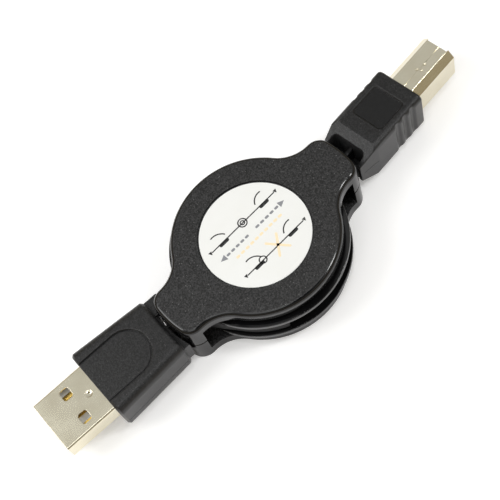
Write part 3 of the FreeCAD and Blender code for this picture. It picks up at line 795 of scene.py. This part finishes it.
def joinPrint(name, finish, marks):
    bpy.ops.object.select_all(action="DESELECT")
    for mark in marks:
        mark.select_set(True)
    bpy.context.view_layer.objects.active = marks[0]
    bpy.ops.object.join()
    piece = bpy.context.object
    piece.name = name
    finishPiece(piece, "housing", "label_film", finish)
    print("print:", name, len(marks), "marks")


def pullMarks(level, left, right):
    # a cable drawn out both ways: a line with a block near each end, and an arrow curling off each end
    line = {"width": 0.24}
    block = {"inward": 3.1, "drop": 0.25, "length": 2.4, "width": 0.75}
    curl = {"inward": 2.2, "drop": 0.15, "radius": 2.5, "upright": 90, "lean": 10, "sweep": 75, "width": 0.26}
    head = {"drop": 0.5, "length": 0.8, "width": 0.8, "turn": -math.pi / 2}
    marks = [inkBar((left, level), (right, level), line["width"])]
    for end, side in ((left, -1), (right, 1)):
        middle = end - side * block["inward"]
        low = level - block["drop"]
        first = (middle - block["length"] / 2, low)
        last = (middle + block["length"] / 2, low)
        marks.append(inkBar(first, last, block["width"]))
        centre = (end - side * curl["inward"], level - curl["drop"])
        rise = curl["upright"] - side * curl["lean"]
        fall = rise - side * curl["sweep"]
        marks.append(inkArc(centre, curl["radius"], rise, fall, curl["width"]))
        tilt = math.radians(fall)
        tip = (centre[0] + curl["radius"] * math.cos(tilt),
               centre[1] + curl["radius"] * math.sin(tilt) - head["drop"])
        marks.append(inkHead(tip, head["turn"], head["length"], head["width"]))
    return marks


def makePrint():
    # plain signs for use: pull both ends together, not one alone
    # each sign's level, its two ends, and its rings by centre, outer and inner radius
    signs = (
        {"level": 3.6, "left": -8.4, "right": 8.9,
         "rings": (((0.06, 3.66), 1.05, 0.8), ((0.06, 3.66), 0.56, 0.32))},
        {"level": -5.2, "left": -7.1, "right": 8.3, "rings": (((-2.8, -5.1), 0.88, 0.64),)},
    )
    black = []
    for sign in signs:
        black += pullMarks(sign["level"], sign["left"], sign["right"])
        for centre, outer, inner in sign["rings"]:
            black.append(inkRing(centre, outer, inner))
    joinPrint("blackPrint", "blackInk", black)

    # between the signs, a dashed arrow to each side
    arrow = {"level": 0.85, "from": 1.0, "to": {-1: 7.3, 1: 7.6}, "dashes": 5, "share": 0.72, "width": 0.5,
             "past": 1.3, "headLength": 1.4, "headWidth": 1.35}
    grey = []
    for side in (-1, 1):
        step = (arrow["to"][side] - arrow["from"]) / arrow["dashes"]
        for index in range(arrow["dashes"]):
            first = side * (arrow["from"] + index * step)
            last = side * (arrow["from"] + (index + arrow["share"]) * step)
            grey.append(inkBar((first, arrow["level"]), (last, arrow["level"]), arrow["width"]))
        tip = (side * (arrow["to"][side] + arrow["past"]), arrow["level"])
        turn = 0 if side > 0 else math.pi
        grey.append(inkHead(tip, turn, arrow["headLength"], arrow["headWidth"]))
    joinPrint("greyPrint", "greyInk", grey)

    # a pale row of dashes, and a pale cross over the lower sign
    dash = {"from": -6.0, "pitch": 1.28, "length": 0.9, "count": 10, "level": -0.94, "width": 0.55}
    cross = {"middle": Vector((1.36, -5.05)), "arm": 2.66, "leans": (54, 126), "width": 0.5}
    orange = []
    for index in range(dash["count"]):
        first = dash["from"] + index * dash["pitch"]
        last = first + dash["length"]
        orange.append(inkBar((first, dash["level"]), (last, dash["level"]), dash["width"]))
    for lean in cross["leans"]:
        arm = Vector((math.cos(math.radians(lean)), math.sin(math.radians(lean)))) * cross["arm"]
        orange.append(inkBar(cross["middle"] - arm, cross["middle"] + arm, cross["width"]))
    joinPrint("orangePrint", "orangeInk", orange)


makeProngTip()
makeNotchFloor()
makePanelInlay()
makeLabel()
print("fitted: prong tip, notch floor, panel inlay and label film")
makeWinding()
for name, lead in leads.items():
    makeLead(name, lead["node"], lead["start"], lead["end"])
print("leads:", len(leads))
makePrint()

# pieces whose CAD form is already right
nodeFinishes = {
    "cover_screw": "steel",
    "ratchet_roller": "steel",
    "power_spring": "spring",
    "plug_a_insulator": "nylon",
    "plug_b_insulator": "nylon",
}
for plug in "ab":
    for number in range(1, 5):
        nodeFinishes["plug_%s_contact_%d" % (plug, number)] = "gold"
for node, finish in nodeFinishes.items():
    frame["nodes"][node].data.materials.clear()
    frame["nodes"][node].data.materials.append(finishes[finish])
print("painted nodes:", len(nodeFinishes))


def makeFloor():
    # a pale table that shows white to the camera and in the metal, and keeps the shadow
    look = {"size": 3.0, "drop": 0.02, "pale": (0.9, 0.9, 0.9, 1), "mirrored": (1.2, 1.2, 1.22, 1),
            "glow": 0.28}
    bpy.ops.object.select_all(action="DESELECT")
    bpy.ops.mesh.primitive_plane_add(size=look["size"], location=(0, 0, -look["drop"] * mm))
    floor = bpy.context.object
    floor.name = "floor"
    matt = {"Roughness": 0.9, "Specular IOR Level": 0.0, "Emission Color": (1, 1, 1, 1)}
    finish, tree, shader = startFinish("paleTable", matt)
    rays = addNode(tree, "ShaderNodeLightPath")
    mirrored = addNode(tree, "ShaderNodeMath", {"operation": "MAXIMUM"},
                       {0: rays.outputs["Is Glossy Ray"], 1: rays.outputs["Is Transmission Ray"]})
    tone = addNode(tree, "ShaderNodeMix",
                   {"data_type": "RGBA", mixLow: look["pale"], mixHigh: look["mirrored"]},
                   {mixShare: mirrored.outputs[0]})
    tree.links.new(tone.outputs[mixed], shader.inputs["Base Color"])
    glow = addNode(tree, "ShaderNodeMath", {"operation": "MULTIPLY", 1: look["glow"]},
                   {0: rays.outputs["Is Camera Ray"]})
    tree.links.new(glow.outputs[0], shader.inputs["Emission Strength"])
    floor.data.materials.append(finish)


def makeWorld():
    # an even pale studio whose walls are dimmer and warmer than its ceiling
    look = {"wall": (0.36, 0.3, 0.19, 1), "ceiling": (0.62, 0.62, 0.61, 1), "wallTo": 0.3,
            "ceilingFrom": 0.62, "backdrop": (0.97, 0.97, 0.97, 1)}
    # the unlit corner of the studio, which gives the edges that face it their depth
    corner = {"way": (-0.17, -0.42, 0.89), "dark": (0.02, 0.02, 0.02, 1), "from": 0.8, "to": 0.93}
    world = bpy.data.worlds.new("studio")
    world.use_nodes = True
    bpy.context.scene.world = world
    tree = world.node_tree
    way = addNode(tree, "ShaderNodeTexCoord")
    parts = addNode(tree, "ShaderNodeSeparateXYZ", None, {"Vector": way.outputs["Generated"]})
    level = addNode(tree, "ShaderNodeMapRange",
                    {"interpolation_type": "SMOOTHSTEP", "From Min": look["wallTo"],
                     "From Max": look["ceilingFrom"]},
                    {"Value": parts.outputs["Z"]})
    tone = addNode(tree, "ShaderNodeMix",
                   {"data_type": "RGBA", mixLow: look["wall"], mixHigh: look["ceiling"]},
                   {mixShare: level.outputs[0]})
    toward = addNode(tree, "ShaderNodeVectorMath", {"operation": "DOT_PRODUCT", 1: corner["way"]},
                     {0: way.outputs["Generated"]})
    patch = addNode(tree, "ShaderNodeMapRange",
                    {"interpolation_type": "SMOOTHSTEP", "From Min": corner["from"],
                     "From Max": corner["to"]},
                    {"Value": toward.outputs["Value"]})
    room = addNode(tree, "ShaderNodeMix", {"data_type": "RGBA", mixHigh: corner["dark"]},
                   {mixShare: patch.outputs[0], mixLow: tone.outputs[mixed]})
    rays = addNode(tree, "ShaderNodeLightPath")
    shown = addNode(tree, "ShaderNodeMix", {"data_type": "RGBA", mixHigh: look["backdrop"]},
                    {mixShare: rays.outputs["Is Camera Ray"], mixLow: room.outputs[mixed]})
    tree.links.new(shown.outputs[mixed], tree.nodes["Background"].inputs["Color"])


# round soft boxes: the way to each from the reel, its distance and size in metres, and its power in watts
lamps = {
    "keyLamp": {"way": (-0.53, 0.36, 0.76), "distance": 0.35, "size": 0.18, "power": 0.4},
    "overheadLamp": {"way": (-0.35, -0.3, 0.89), "distance": 0.5, "size": 0.28, "power": 0.42},
    "topLamp": {"way": (0.0, -0.12, 0.99), "distance": 0.5, "size": 0.06, "power": 0.2},
    "edgeLamp": {"way": (0.45, -0.36, 0.82), "distance": 0.5, "size": 0.1, "power": 0.55},
}


def makeLamp(name, way, distance, size, power):
    lamp = bpy.data.lights.new(name, "AREA")
    lamp.shape = "DISK"
    lamp.size = size
    lamp.energy = power
    holder = bpy.data.objects.new(name, lamp)
    bpy.context.scene.collection.objects.link(holder)
    away = Vector(way).normalized()
    holder.location = away * distance
    holder.rotation_euler = (-away).to_track_quat("-Z", "Y").to_euler()


def makeCamera():
    # the view: over the reel's near side, rolled so that the cable runs up to the right
    view = {"azimuth": -21.81, "elevation": 63.40, "roll": -24.98, "distance": 250, "lens": 87.1,
            "target": (-0.47, 4.78, -0.9), "sensor": 36, "clip": 0.01}
    azimuth, elevation, roll = (math.radians(view[key]) for key in ("azimuth", "elevation", "roll"))
    back = Vector((math.sin(azimuth) * math.cos(elevation),
                   -math.cos(azimuth) * math.cos(elevation),
                   math.sin(elevation)))
    right = Vector((0, 0, 1)).cross(back).normalized()
    up = back.cross(right)
    across = right * math.cos(roll) + up * math.sin(roll)
    upright = up * math.cos(roll) - right * math.sin(roll)
    camera = bpy.data.cameras.new("camera")
    camera.lens = view["lens"]
    camera.sensor_width = view["sensor"]
    camera.clip_start = view["clip"]
    holder = bpy.data.objects.new("camera", camera)
    bpy.context.scene.collection.objects.link(holder)
    turn = Matrix((across, upright, back)).transposed().to_4x4()
    place = (Vector(view["target"]) + back * view["distance"]) * mm
    holder.matrix_world = Matrix.Translation(place) @ turn
    bpy.context.scene.camera = holder


makeFloor()
makeWorld()
for name, lamp in lamps.items():
    makeLamp(name, lamp["way"], lamp["distance"], lamp["size"], lamp["power"])
makeCamera()
bpy.context.scene.view_settings.view_transform = "Standard"
print("stage, lamps and camera are set")
